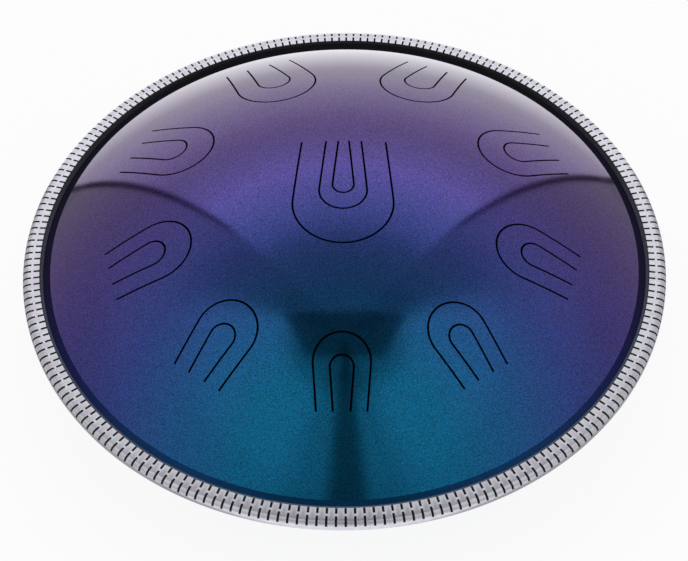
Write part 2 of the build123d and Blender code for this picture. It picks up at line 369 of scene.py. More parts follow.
def combine(piece, cutter, operation):
    """Applies a boolean with a closed cutter and replaces the piece's mesh by the result."""
    modifier = piece.modifiers.new(operation.lower(), "BOOLEAN")
    modifier.operation = operation
    modifier.solver = "MANIFOLD"
    modifier.object = cutter
    solved = piece.evaluated_get(bpy.context.evaluated_depsgraph_get())
    result = bpy.data.meshes.new_from_object(solved)
    if not result.polygons:
        raise RuntimeError(f"{piece.name}: the {operation.lower()} left nothing")
    piece.modifiers.clear()
    before = piece.data
    piece.data = result
    bpy.data.meshes.remove(before)


def weld(piece):
    """Merges the near-coincident corners that a cut leaves."""
    bm = bmesh.new()
    bm.from_mesh(piece.data)
    bmesh.ops.remove_doubles(bm, verts=bm.verts[:], dist=WELD)
    bm.to_mesh(piece.data)
    bm.free()


def smooth(piece, sharp_degrees=35.0):
    """Smooth shading with sharp edges kept."""
    piece.data.shade_smooth()
    piece.data.set_sharp_from_angle(angle=math.radians(sharp_degrees))


def dress(piece, material):
    """Gives a piece its material."""
    piece.data.materials.clear()
    piece.data.materials.append(material)


def dome_radius():
    size = shells()
    return (size.base**2 + size.rise**2) / (2 * size.rise)


def dome_centre():
    """Height of the top dome's sphere centre over the seam."""
    size = shells()
    return size.film / 2 + size.sheet + size.rise - dome_radius()


def flange_fillet():
    """Centre of the bend between dome and flange, and its angle from upright at the sphere's centre."""
    size = shells()
    height = size.film / 2 + size.sheet + size.bend
    up = height - dome_centre()
    across = math.sqrt((dome_radius() + size.bend) ** 2 - up**2)
    return (across, 0.0, height), math.atan2(across, up)


def lip_fillet():
    """Centre of the bend between dome and port lip, and its angle from upright at the sphere's centre."""
    size = shells()
    outside = size.lip_bend + size.sheet
    across = size.port + outside
    up = math.sqrt((dome_radius() - outside) ** 2 - across**2)
    return (across, 0.0, dome_centre() + up), math.atan2(across, up)


def rim_run(bm, vert, turn, fillet):
    """Carries a shell's section from the dome's outside round its bend and back to the dome's inside."""
    bend_steps = 6
    vert = run_arc(bm, vert, fillet, SECTION_AXIS, turn, bend_steps)
    vert = run_line(bm, vert, (fillet[0], 0.0, shells().film / 2))
    return run_arc(bm, vert, fillet, SECTION_AXIS, -turn, bend_steps)


def closed_dome():
    """The uncut playing dome without its flange, as a closed solid."""
    size = shells()
    centre = (0.0, 0.0, dome_centre())
    fillet, turn = flange_fillet()
    bm = bmesh.new()
    vert = bm.verts.new((0.0, 0.0, dome_centre() + dome_radius()))
    vert = run_arc(bm, vert, centre, SECTION_AXIS, -turn, size.rings)
    vert = rim_run(bm, vert, turn, fillet)
    run_arc(bm, vert, centre, SECTION_AXIS, turn, size.rings)
    spin_round(bm, size.turns)
    lift_to_seam(bm)
    return new_object("dome", bm)


def flange_ring(name, side, node):
    """A shell's flat flange, above or below the seam."""
    size = shells()
    inner = flange_fillet()[0][0]
    low = size.film / 2
    bm = bmesh.new()
    first = bm.verts.new((inner, 0.0, side * low))
    vert = first
    for x, z in ((size.flange, low), (size.flange, low + size.sheet), (inner, low + size.sheet)):
        vert = run_line(bm, vert, (x, 0.0, side * z))
    bm.edges.new((vert, first))
    spin_round(bm, size.turns)
    lift_to_seam(bm)
    ring = new_object(name, bm)
    smooth(ring)
    ring.visible_glossy = False
    # The flange gets painted shading: bluish near the front, darker round to the back
    dress(ring, material("flange_painted_shading"))
    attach(ring, "drum")
    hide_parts(node)


def finish_dome(piece, centre, radius, sheet):
    """Paints a dome's outside, primes the rest or gives it the flange's painted shading near the rim, and
    gives both faces a sphere's normals.
    """
    rim = FLANGE_SHADING_START * shells().base
    weld(piece)
    dress(piece, material("shift_paint"))
    mesh = piece.data
    mesh.materials.append(material("black_primer"))
    mesh.materials.append(material("flange_painted_shading"))
    smooth(piece)
    normals = [(0.0, 0.0, 0.0)] * len(mesh.loops)
    for face in mesh.polygons:
        out = face.center - centre
        facing = face.normal.dot(out) / out.length
        outside = abs(out.length - radius) < sheet / 8
        inside = abs(out.length - radius + sheet) < sheet / 8
        on_sphere = abs(facing) > ON_SPHERE and (outside or inside)
        if outside and on_sphere:
            face.material_index = 0
        else:
            # Near the rim, faces off the painted dome get the flange's painted shading; the rest get primer
            face.material_index = 2 if math.hypot(face.center.x, face.center.y) > rim else 1
        if not on_sphere:
            continue
        for loop in face.loop_indices:
            away = mesh.vertices[mesh.loops[loop].vertex_index].co - centre
            normals[loop] = tuple(away.normalized() * math.copysign(1.0, facing))
    mesh.normals_split_custom_set(normals)


# Note fields


def root_half_width(root, tip_centre, tip_radius):
    """Half the distance between two legs at the root line."""
    taper = notes().taper
    return (tip_radius - (root - tip_centre) * math.sin(taper)) / math.cos(taper)


def note_fields():
    """Each note field's name with its turn about the axis, its root and its slots' tips."""
    size = notes()
    fields = {}
    for step, (name, bearing) in enumerate(RING_BEARINGS.items()):
        at_back = name.startswith("back")
        tip = size.lowest_tip * size.step**step
        tip_centre = size.back_tips if at_back else size.tips
        root = tip_centre + tip + (size.back_leg if at_back else size.leg)
        tips = {
            "outer": (tip_centre, tip),
            "inner": (tip_centre + size.inner_shift * tip, size.inner_share * tip),
        }
        fields[name] = (math.radians(bearing - 90.0), root, tips)
    centre_tips = {name: (tip * MM, radius * MM) for name, (tip, radius) in CENTRE_TIPS.items()}
    fields["centre"] = (math.radians(90.0), size.centre_root, centre_tips)
    return fields


def run_slot(bm, vert, root, tip_centre, tip_radius, side):
    """Carries an outline on from one end of a slot's root, round its tip, to the other end."""
    taper = notes().taper
    tangent = (tip_centre + tip_radius * math.sin(taper), side * tip_radius * math.cos(taper), 0.0)
    vert = run_line(bm, vert, tangent)
    turn = side * (math.pi + 2 * taper)
    vert = run_arc(bm, vert, (tip_centre, 0.0, 0.0), DRUM_AXIS, turn, notes().tip_steps)
    return run_line(bm, vert, (root, -side * root_half_width(root, tip_centre, tip_radius), 0.0))


def raise_prism(bm, turn):
    """Fills a flat outline, makes it a prism through the dome and turns it into its place."""
    size = shells()
    bmesh.ops.contextual_create(bm, geom=bm.edges[:])
    raised = bmesh.ops.extrude_face_region(bm, geom=bm.faces[:])["geom"]
    tall = (0.0, 0.0, CUTTER_HEIGHT * size.rise)
    bmesh.ops.translate(bm, verts=only(bmesh.types.BMVert, raised), vec=tall)
    face_out(bm)
    placed = Matrix.Translation((0.0, 0.0, size.seam)) @ Matrix.Rotation(turn, 4, "Z")
    bmesh.ops.transform(bm, verts=bm.verts[:], matrix=placed)


def slot_prism(name, turn, root, tip, nested=None):
    """A prism with a tongue's outline, less the slot and tongue that lie inside it."""
    bm = bmesh.new()
    first = bm.verts.new((root, root_half_width(root, *tip), 0.0))
    last = run_slot(bm, first, root, *tip, 1.0)
    if nested:
        last = run_line(bm, last, (root, -root_half_width(root, *nested), 0.0))
        last = run_slot(bm, last, root, *nested, -1.0)
    bm.edges.new((last, first))
    raise_prism(bm, turn)
    return new_object(name, bm)


def slot_ends():
    """Round ends of all the slots, as one object of separate rods."""
    size = shells()
    tall = CUTTER_HEIGHT * size.rise
    bm = bmesh.new()
    for turn, root, tips in note_fields().values():
        for tip in tips.values():
            for side in (-1.0, 1.0):
                place = Matrix.Rotation(turn, 4, "Z") @ Matrix.Translation(
                    (root, side * root_half_width(root, *tip), size.seam + tall / 2)
                )
                rod = {"radius1": notes().slot / 2, "radius2": notes().slot / 2, "depth": tall}
                bmesh.ops.create_cone(bm, cap_ends=True, segments=16, matrix=place, **rod)
    return new_object("slot_ends", bm)


def remove(*pieces):
    """Takes helper objects away again."""
    for piece in pieces:
        mesh = piece.data
        bpy.data.objects.remove(piece)
        bpy.data.meshes.remove(mesh)


# Materials


class Nodes:
    """A node tree with short calls to add and join nodes."""

    def __init__(self, tree):
        self.tree = tree
        tree.nodes.clear()
        self.place = self.add("ShaderNodeTexCoord").outputs["Object"]

    def add(self, kind, **settings):
        node = self.tree.nodes.new(kind)
        for name, value in settings.items():
            setattr(node, name, value)
        return node

    def join(self, out, into):
        self.tree.links.new(out, into)

    def feed(self, node, *values):
        """Fills a node's first inputs with links or constant values."""
        for socket, value in zip(node.inputs, values):
            if isinstance(value, bpy.types.NodeSocket):
                self.join(value, socket)
            else:
                socket.default_value = value
        return node.outputs[0]

    def math(self, operation, *values):
        return self.feed(self.add("ShaderNodeMath", operation=operation), *values)

    def noise(self, scale, detail=2.0):
        node = self.add("ShaderNodeTexNoise")
        node.inputs["Scale"].default_value = scale
        node.inputs["Detail"].default_value = detail
        self.join(self.place, node.inputs["Vector"])
        return node.outputs["Fac"]

    def spread(self, value, low, high, from_low=0.0, from_high=1.0, way="LINEAR"):
        """Maps a value from one range to another."""
        node = self.add("ShaderNodeMapRange", interpolation_type=way)
        return self.feed(node, value, from_low, from_high, low, high)

    def ramp(self, value, stops):
        """Colours along a value, each stop a place and a colour."""
        node = self.add("ShaderNodeValToRGB")
        elements = node.color_ramp.elements
        while len(elements) < len(stops):
            elements.new(1.0)
        for element, (at, tone) in zip(elements, stops):
            element.position = at
            element.color = (*tone, 1.0)
        return self.feed(node, value)

    def from_pole(self, *stops):
        """Colours by their distance in metres from the place that faces the player, for light and shade
        painted as the front view shows them.
        """
        apart = self.add("ShaderNodeVectorMath", operation="DISTANCE")
        apart.inputs[1].default_value = PAINT_POLE
        self.join(self.place, apart.inputs[0])
        reach = self.spread(apart.outputs["Value"], 0.0, 1.0, 0.0, PAINT_REACH)
        return self.ramp(reach, [(at / PAINT_REACH, tone) for at, tone in stops])

    def off_axis(self):
        """Distance from the drum axis."""
        flat = self.add("ShaderNodeVectorMath", operation="MULTIPLY")
        flat.inputs[1].default_value = (1.0, 1.0, 0.0)
        self.join(self.place, flat.inputs[0])
        out = self.add("ShaderNodeVectorMath", operation="LENGTH")
        self.join(flat.outputs["Vector"], out.inputs[0])
        return out.outputs["Value"]

    def shade(self, tone, value):
        """A colour made lighter or darker by a value about 1."""
        node = self.add("ShaderNodeVectorMath", operation="SCALE")
        self.join(tone, node.inputs["Vector"])
        self.join(value, node.inputs["Scale"])
        return node.outputs["Vector"]

    def between(self, share, first, second):
        """A mix of two shaders."""
        return self.feed(self.add("ShaderNodeMixShader"), share, first, second)

    def level(self, share, first, second):
        """A mix of two plain values."""
        return self.feed(self.add("ShaderNodeMix"), share, (0.0, 0.0, 0.0), first, second)

    def mix(self, share, first, second):
        """A mix of two colours."""
        node = self.add("ShaderNodeMix", data_type="RGBA")
        for socket, value in ((0, share), (6, first), (7, second)):
            self.join(value, node.inputs[socket])
        return node.outputs[2]

    def fade(self, value, low, high, degrees):
        """A soft change of level between two angles."""
        return self.spread(value, low, high, *map(math.radians, degrees), "SMOOTHSTEP")

    def tent_turn(self, across, along):
        """Angle from the back of the light tent, the same to both sides."""
        turn = self.math("ADD", self.math("ARCTAN2", across, along), math.radians(TENT_TURN))
        return self.math("ABSOLUTE", turn)

    def tent_seam(self, turn):
        """Dark line where the back wall meets a side wall."""
        apart = self.math("SUBTRACT", turn, math.radians(TENT_CORNER))
        return self.fade(self.math("ABSOLUTE", apart), 0.0, 1.0, SEAM_FADE)

    def mottle(self, shader, noise, first, second):
        """Base colour that wanders between two tones."""
        self.join(self.ramp(noise, ((0.3, first), (0.7, second))), shader.inputs["Base Color"])

    def roughen(self, shader, noise, low, high, *noise_range):
        """Roughness that wanders between two values."""
        self.join(self.spread(noise, low, high, *noise_range), shader.inputs["Roughness"])

    def bump(self, value, depth, shader):
        """Relief of this depth in metres."""
        node = self.add("ShaderNodeBump")
        node.inputs["Distance"].default_value = depth
        self.join(value, node.inputs["Height"])
        self.join(node.outputs["Normal"], shader.inputs["Normal"])


def surface(name, **values):
    """A new material's node tree and its shader, with constant values set on the shader's sockets."""
    made = bpy.data.materials.new(name)
    made.use_nodes = True
    nodes = Nodes(made.node_tree)
    shader = nodes.add("ShaderNodeBsdfPrincipled")
    for key, value in values.items():
        shader.inputs[key.replace("_", " ")].default_value = value
    output = nodes.add("ShaderNodeOutputMaterial")
    nodes.join(shader.outputs["BSDF"], output.inputs["Surface"])
    return made, nodes, shader


def times(tone, factor):
    """A tone made lighter or darker."""
    return [channel * factor for channel in tone]


def shift_paint():
    """Colour-shift metallic paint under a gloss clear coat. Its shift from teal at the front to violet at the
    back is painted on as a fixed gradient, a painted sheen as the front view shows it.
    """
    tones = finish()
    made, nodes, shader = surface(
        "shift_paint",
        Metallic=1.0,
        Roughness=tones.paint_rough,
        Coat_Weight=1.0,
        Coat_Roughness=tones.coat_rough,
        Coat_IOR=1.2,
    )
    # Painted sheen: the colour shift graded round the pole
    tone = nodes.from_pole(
        (0.06, tones.paint_front),
        (0.10, tones.paint_near),
        (0.14, tones.paint_middle),
        (0.19, tones.paint_side),
        (0.23, tones.paint_far),
        (0.30, tones.paint_back),
    )
    flakes = nodes.spread(nodes.noise(1500.0, 1.0), 0.5, 1.5, 0.3, 0.7)
    nodes.join(nodes.shade(tone, flakes), shader.inputs["Base Color"])
    nodes.bump(nodes.noise(2200.0, 1.0), 0.000003, shader)
    return made


def black_primer():
    """Black primer, slightly uneven."""
    tone = finish().primer
    tint = (0.5, 0.4, 1.0, 1.0)
    made, nodes, shader = surface("black_primer", Specular_IOR_Level=0.08, Specular_Tint=tint)
    nodes.mottle(shader, nodes.noise(300.0), tone, times(tone, 1.6))
    nodes.roughen(shader, nodes.noise(800.0), 0.4, 0.6)
    return made


def flange_painted_shading():
    """Painted shading on the black flange: a blue painted reflection, lightest near the front, fading to
    painted shade at the sides and to black at the back.
    """
    tones = finish()
    made, nodes, shader = surface("flange_painted_shading", Specular_IOR_Level=0.05)
    # Painted reflection near the front, painted shade at the sides, the primer's black at the back
    tone = nodes.from_pole(
        (0.03, tones.flange_shading_front),
        (0.09, tones.flange_shading_near),
        (0.175, tones.flange_shading_flank),
        (0.23, tones.flange_shading_side),
        (0.34, tones.primer),
    )
    nodes.join(nodes.shade(tone, nodes.spread(nodes.noise(900.0), 0.6, 1.4)), shader.inputs["Base Color"])
    nodes.roughen(shader, nodes.noise(800.0), 0.4, 0.6)
    return made


def stamped_steel():
    """Bright stamped steel with faint rolling marks."""
    tones = finish()
    made, nodes, shader = surface("stamped_steel", Metallic=1.0)
    nodes.mottle(shader, nodes.noise(220.0, 3.0), tones.steel_dull, tones.steel)
    nodes.roughen(shader, nodes.noise(900.0), 0.22, 0.34, 0.3, 0.7)
    nodes.bump(nodes.noise(260.0), 0.00002, shader)
    return made


def strip_edge_shade():
    """Near-black cut faces of the strip, a painted shade, with fine drag marks."""
    tone = finish().edge
    made, nodes, shader = surface("strip_edge_shade", Metallic=0.5)
    nodes.mottle(shader, nodes.noise(1500.0), times(tone, 0.6), tone)
    nodes.roughen(shader, nodes.noise(900.0), 0.5, 0.7)
    return made


def moulded_rubber():
    """Black rubber with a fine moulded grain."""
    tone = finish().rubber
    made, nodes, shader = surface("moulded_rubber")
    nodes.mottle(shader, nodes.noise(400.0, 3.0), tone, times(tone, 2.2))
    nodes.roughen(shader, nodes.noise(700.0, 3.0), 0.6, 0.8)
    nodes.bump(nodes.noise(1800.0, 3.0), 0.00008, shader)
    return made


def channel_rubber():
    """Black rubber under the strip, with a painted highlight on the lip beyond the strip's edge, bluish and
    lightest at the front, and painted shade where the strip covers it.
    """
    tones = finish()
    made, nodes, shader = surface("channel_rubber", Specular_IOR_Level=0.12)
    edge = trim().radius - trim().reach
    # Painted highlight on the lip round the pole; painted shade, a tenth as bright, under the strip
    tone = nodes.from_pole((0.02, tones.lip_highlight_front), (0.22, tones.lip_highlight_side), (0.34, tones.rubber))
    lip = nodes.spread(nodes.off_axis(), 1.0, 0.1, edge - 0.4 * MM, edge)
    grain = nodes.spread(nodes.noise(700.0, 3.0), 0.5, 1.5)
    nodes.join(nodes.shade(tone, nodes.math("MULTIPLY", lip, grain)), shader.inputs["Base Color"])
    nodes.roughen(shader, nodes.noise(700.0, 3.0), 0.45, 0.65)
    nodes.bump(nodes.noise(1800.0, 3.0), 0.00003, shader)
    return made


def zinc_plate():
    """Zinc-plated steel with a faint crystal pattern."""
    tone = finish().zinc
    made, nodes, shader = surface("zinc_plate", Metallic=1.0)
    cells = nodes.add("ShaderNodeTexVoronoi")
    cells.inputs["Scale"].default_value = 700.0
    nodes.join(nodes.place, cells.inputs["Vector"])
    crystals = nodes.ramp(cells.outputs["Distance"], ((0.0, tone), (0.6, times(tone, 0.75))))
    nodes.join(crystals, shader.inputs["Base Color"])
    nodes.roughen(shader, nodes.noise(900.0), 0.3, 0.5)
    return made


def cured_adhesive():
    """Cured adhesive with small bubbles."""
    tone = finish().adhesive
    made, nodes, shader = surface("cured_adhesive")
    nodes.mottle(shader, nodes.noise(600.0), tone, times(tone, 1.8))
    nodes.roughen(shader, nodes.noise(500.0), 0.45, 0.7)
    nodes.bump(nodes.noise(900.0, 3.0), 0.00004, shader)
    return made


def material(name):
    """A finish of the drum by name, made when first asked for."""
    makers = (
        shift_paint,
        black_primer,
        flange_painted_shading,
        stamped_steel,
        strip_edge_shade,
        channel_rubber,
        moulded_rubber,
        zinc_plate,
        cured_adhesive,
    )
    return bpy.data.materials.get(name) or {maker.__name__: maker for maker in makers}[name]()


# Operators


class DRUM_OT_top_shell(bpy.types.Operator):
    """Builds the playing dome with its ten note fields cut out"""

    bl_idname = "drum.top_shell"
    bl_label = "Top Shell"

    def execute(self, context):
        size = shells()
        half_slot = notes().slot / 2
        dome = closed_dome()
        dome.name = "playing_dome"
        fields = bmesh.new()
        for turn, root, tips in note_fields().values():
            tip_centre, tip_radius = tips["outer"]
            prism = slot_prism("field", turn, root, (tip_centre, tip_radius + half_slot))
            fields.from_mesh(prism.data)
            remove(prism)
        for cutter in (new_object("fields", fields), slot_ends()):
            combine(dome, cutter, "DIFFERENCE")
            remove(cutter)
        finish_dome(dome, Vector((0.0, 0.0, size.seam + dome_centre())), dome_radius(), size.sheet)
        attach(dome, "drum")
        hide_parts("top_shell")
        flange_ring("top_flange", 1.0, "top_shell")
        return {"FINISHED"}


class DRUM_OT_tongues(bpy.types.Operator):
    """Builds the tongues, each cut from the dome between its slots"""

    bl_idname = "drum.tongues"
    bl_label = "Tongues"

    def execute(self, context):
        size = shells()
        half_slot = notes().slot / 2
        centre = Vector((0.0, 0.0, size.seam + dome_centre()))
        dome = closed_dome()
        for field, (turn, root, tips) in note_fields().items():
            names = list(tips)
            for name, inside in zip(names, names[1:] + [None]):
                node = f"tongue_{field}_{name}"
                tip_centre, tip_radius = tips[name]
                nested = None
                if inside:
                    nested = (tips[inside][0], tips[inside][1] + half_slot)
                cutter = slot_prism("cutter", turn, root, (tip_centre, tip_radius - half_slot), nested)
                tongue = bpy.data.objects.new(f"{node}_steel", dome.data.copy())
                context.scene.collection.objects.link(tongue)
                combine(tongue, cutter, "INTERSECT")
                remove(cutter)
                finish_dome(tongue, centre, dome_radius(), size.sheet)
                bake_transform(tongue)
                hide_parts(node)
        remove(dome)
        return {"FINISHED"}


class DRUM_OT_bottom_shell(bpy.types.Operator):
    """Builds the bottom dome with its flange and its lipped sound port"""

    bl_idname = "drum.bottom_shell"
    bl_label = "Bottom Shell"

    def execute(self, context):
        size = shells()
        centre = (0.0, 0.0, dome_centre())
        fillet, turn = flange_fillet()
        lip, lip_turn = lip_fillet()
        lip_end = dome_centre() + math.sqrt(dome_radius() ** 2 - size.port**2) - size.lip
        wall = size.port + size.sheet
        lip_steps = 10
        bm = bmesh.new()
        first = bm.verts.new((size.port, 0.0, lip_end))
        vert = run_line(bm, first, (size.port, 0.0, lip[2]))
        vert = run_arc(bm, vert, lip, SECTION_AXIS, -lip_turn - math.pi / 2, lip_steps)
        vert = run_arc(bm, vert, centre, SECTION_AXIS, lip_turn - turn, size.rings)
        vert = rim_run(bm, vert, turn, fillet)
        vert = run_arc(bm, vert, centre, SECTION_AXIS, turn - lip_turn, size.rings)
        vert = run_arc(bm, vert, lip, SECTION_AXIS, lip_turn + math.pi / 2, lip_steps)
        vert = run_line(bm, vert, (wall, 0.0, lip_end))
        bm.edges.new((vert, first))
        spin_round(bm, size.turns)
        upside_down = Matrix.Translation((0.0, 0.0, size.seam)) @ Matrix.Scale(-1.0, 4, (0.0, 0.0, 1.0))
        bmesh.ops.transform(bm, verts=bm.verts[:], matrix=upside_down)
        face_out(bm)
        shell = new_object("bottom_dome", bm)
        finish_dome(shell, Vector((0.0, 0.0, size.seam - dome_centre())), dome_radius(), size.sheet)
        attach(shell, "drum")
        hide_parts("bottom_shell")
        flange_ring("bottom_flange", -1.0, "bottom_shell")
        return {"FINISHED"}


def turned_outwards(bm):
    """Turns an open sheet's faces so that the highest one looks up."""
    face_out(bm)
    bm.normal_update()
    top = max(bm.faces, key=lambda face: face.calc_center_median().z)
    if top.normal.z < 0:
        bmesh.ops.reverse_faces(bm, faces=bm.faces[:])


def strip_depth(place):
    """How far a place lies under the strip's outer face."""
    size = trim()
    bend = size.half - size.flat / 2
    across = max(math.hypot(place.x, place.y) - size.radius + bend, 0.0)
    up = max(abs(place.z) - size.flat / 2, 0.0)
    return bend - math.hypot(across, up)


class DRUM_OT_rim_trim(bpy.types.Operator):
    """Builds the folded steel strip, one link with its slots repeated round the rim"""

    bl_idname = "drum.rim_trim"
    bl_label = "Rim Trim"

    def execute(self, context):
        size = trim()
        half_slot = size.slot / 2
        bend = size.half - size.flat / 2
        inner = size.radius - size.reach
        finger_end = inner + size.finger
        slot_start = finger_end + size.spine
        bend_x = size.radius - bend
        bm = bmesh.new()
        vert = bm.verts.new((inner, half_slot, size.half))
        for x in (finger_end, slot_start, bend_x):
            vert = run_line(bm, vert, (x, half_slot, size.half))
        upper = (bend_x, half_slot, size.flat / 2)
        vert = run_arc(bm, vert, upper, SECTION_AXIS, size.slot_end - math.pi / 2, 2)
        vert = run_arc(bm, vert, upper, SECTION_AXIS, -size.slot_end, 2)
        run_line(bm, vert, (size.radius, half_slot, 0.0))
        chain = bm.edges[:]
        slot_top = size.flat / 2 + bend * math.sin(size.slot_end)

        def in_spine(vertex):
            on_leg = finger_end - WELD < vertex.co.x < slot_start + WELD and vertex.co.z > size.half - WELD
            return on_leg or vertex.co.z < slot_top + WELD

        spines = [edge for edge in chain if all(in_spine(vertex) for vertex in edge.verts)]
        side = bmesh.ops.extrude_edge_only(bm, edges=chain)["geom"]
        for vertex in only(bmesh.types.BMVert, side):
            vertex.co.y = vertex.co.x * math.tan(math.pi / size.links)
        bridge = bmesh.ops.extrude_edge_only(bm, edges=spines)["geom"]
        for vertex in only(bmesh.types.BMVert, bridge):
            vertex.co.y = 0.0
        for axis in ("Y", "Z"):
            bmesh.ops.mirror(bm, geom=everything(bm), matrix=Matrix(), merge_dist=WELD, axis=axis)
        bmesh.ops.dissolve_limit(bm, angle_limit=FLAT_ANGLE, verts=bm.verts[:], edges=bm.edges[:])
        more = size.links - 1
        whole = math.tau * more / size.links
        bmesh.ops.spin(bm, geom=everything(bm), axis=DRUM_AXIS, angle=whole, steps=more, use_duplicate=True)
        bmesh.ops.remove_doubles(bm, verts=bm.verts[:], dist=10 * WELD)
        turned_outwards(bm)
        bmesh.ops.solidify(bm, geom=bm.faces[:], thickness=size.sheet)
        depths = [strip_depth(face.calc_center_median()) / size.sheet for face in bm.faces]
        sheared = [CUT_FACES[0] < depth < CUT_FACES[1] for depth in depths]
        placed = Matrix.Translation((0.0, 0.0, shells().seam)) @ Matrix.Rotation(
            math.tau * size.phase / size.links, 4, "Z"
        )
        bmesh.ops.transform(bm, verts=bm.verts[:], matrix=placed)
        face_out(bm)
        strip = new_object("rim_strip", bm)
        smooth(strip, 40.0)
        dress(strip, material("stamped_steel"))
        # The strip's cut faces get near-black painted shade
        strip.data.materials.append(material("strip_edge_shade"))
        strip.data.polygons.foreach_set("material_index", sheared)
        strip.visible_glossy = False
        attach(strip, "drum")
        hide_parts("rim_trim")
        return {"FINISHED"}


class DRUM_OT_trim_liner(bpy.types.Operator):
    """Builds the black rubber channel under the strip"""

    bl_idname = "drum.trim_liner"
    bl_label = "Trim Liner"

    def execute(self, context):
        size = trim()
        half = size.liner_half
        outer = size.liner_radius
        inner = size.radius - size.reach - size.liner_lip
        bend = half - size.flat / 2
        wall = size.liner_wall
        lip = size.lip_round
        bend_steps = 6
        lip_steps = 4
        bm = bmesh.new()
        first = bm.verts.new((inner + lip, 0.0, half))
        vert = run_line(bm, first, (outer - bend, 0.0, half))
        vert = run_arc(bm, vert, (outer - bend, 0.0, half - bend), SECTION_AXIS, -math.pi / 2, bend_steps)
        vert = run_line(bm, vert, (outer, 0.0, bend - half))
        vert = run_arc(bm, vert, (outer - bend, 0.0, bend - half), SECTION_AXIS, -math.pi / 2, bend_steps)
        vert = run_line(bm, vert, (inner + lip, 0.0, -half))
        vert = run_arc(bm, vert, (inner + lip, 0.0, lip - half), SECTION_AXIS, -math.pi / 2, lip_steps)
        for x, z in (
            (inner, wall - half),
            (outer - wall, wall - half),
            (outer - wall, half - wall),
            (inner, half - wall),
            (inner, half - lip),
        ):
            vert = run_line(bm, vert, (x, 0.0, z))
        run_arc(bm, vert, (inner + lip, 0.0, half - lip), SECTION_AXIS, -math.pi / 2, lip_steps)
        spin_round(bm, shells().turns)
        lift_to_seam(bm)
        liner = new_object("rubber_liner", bm)
        smooth(liner)
        liner.visible_glossy = False
        dress(liner, material("channel_rubber"))
        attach(liner, "drum")
        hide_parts("trim_liner")
        return {"FINISHED"}


class DRUM_OT_feet(bpy.types.Operator):
    """Builds the four tapering rubber feet with their screw recesses"""

    bl_idname = "drum.feet"
    bl_label = "Feet"

    def execute(self, context):
        size = feet()
        centre = Vector((0.0, 0.0, shells().seam - dome_centre()))
        seat_radius = dome_radius() + size.fit
        turns = 64
        for name, bearing in FOOT_BEARINGS.items():
            turn = math.radians(bearing)
            drop = math.sqrt(dome_radius() ** 2 - size.circle**2)
            seat = centre + Vector((size.circle * math.cos(turn), size.circle * math.sin(turn), -drop))
            up = (centre - seat).normalized()
            tall = seat.z / up.z
            washer = size.recess_depth - tall
            below = 2 * tall
            bm = bmesh.new()
            first = bm.verts.new((size.shank, 0.0, washer))
            vert = first
            for x, z in (
                (size.recess, washer),
                (size.recess, -below),
                (2 * size.floor - size.top, -below),
                (size.top, -size.round),
                (size.top, 0.0),
                (size.shank, 0.0),
            ):
                vert = run_line(bm, vert, (x, 0.0, z))
            bm.edges.new((vert, first))
            spin_round(bm, turns)
            for vertex in bm.verts:
                vertex.tag = abs(vertex.co.z) < WELD
            placed = Matrix.Translation(seat) @ up.to_track_quat("Z", "Y").to_matrix().to_4x4()
            bmesh.ops.transform(bm, verts=bm.verts[:], matrix=placed)
            for vertex in bm.verts:
                if vertex.tag:
                    vertex.co = centre + (vertex.co - centre).normalized() * seat_radius
            level = bmesh.ops.bisect_plane(bm, geom=everything(bm), plane_no=DRUM_AXIS, clear_inner=True)
            rims = only(bmesh.types.BMEdge, level["geom_cut"])
            bmesh.ops.bridge_loops(bm, edges=rims)
            rounding = {"offset": size.round, "segments": 3, "profile": 0.5}
            bmesh.ops.bevel(bm, geom=rims, affect="EDGES", material=-1, **rounding)
            face_out(bm)
            foot = new_object(f"rubber_foot_{name}", bm)
            smooth(foot)
            dress(foot, material("moulded_rubber"))
            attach(foot, "drum")
            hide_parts(f"foot_{name}")
        return {"FINISHED"}


class DRUM_OT_hardware(bpy.types.Operator):
    """Gives the carried-over fasteners and the seam film their finishes"""

    bl_idname = "drum.hardware"
    bl_label = "Fasteners and Film"

    def execute(self, context):
        for node in ("foot_screws", "foot_washers", "nut_washers", "foot_nuts"):
            dress(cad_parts[node], material("zinc_plate"))
        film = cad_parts["seam_film"]
        film.visible_glossy = False
        dress(film, material("cured_adhesive"))
        return {"FINISHED"}


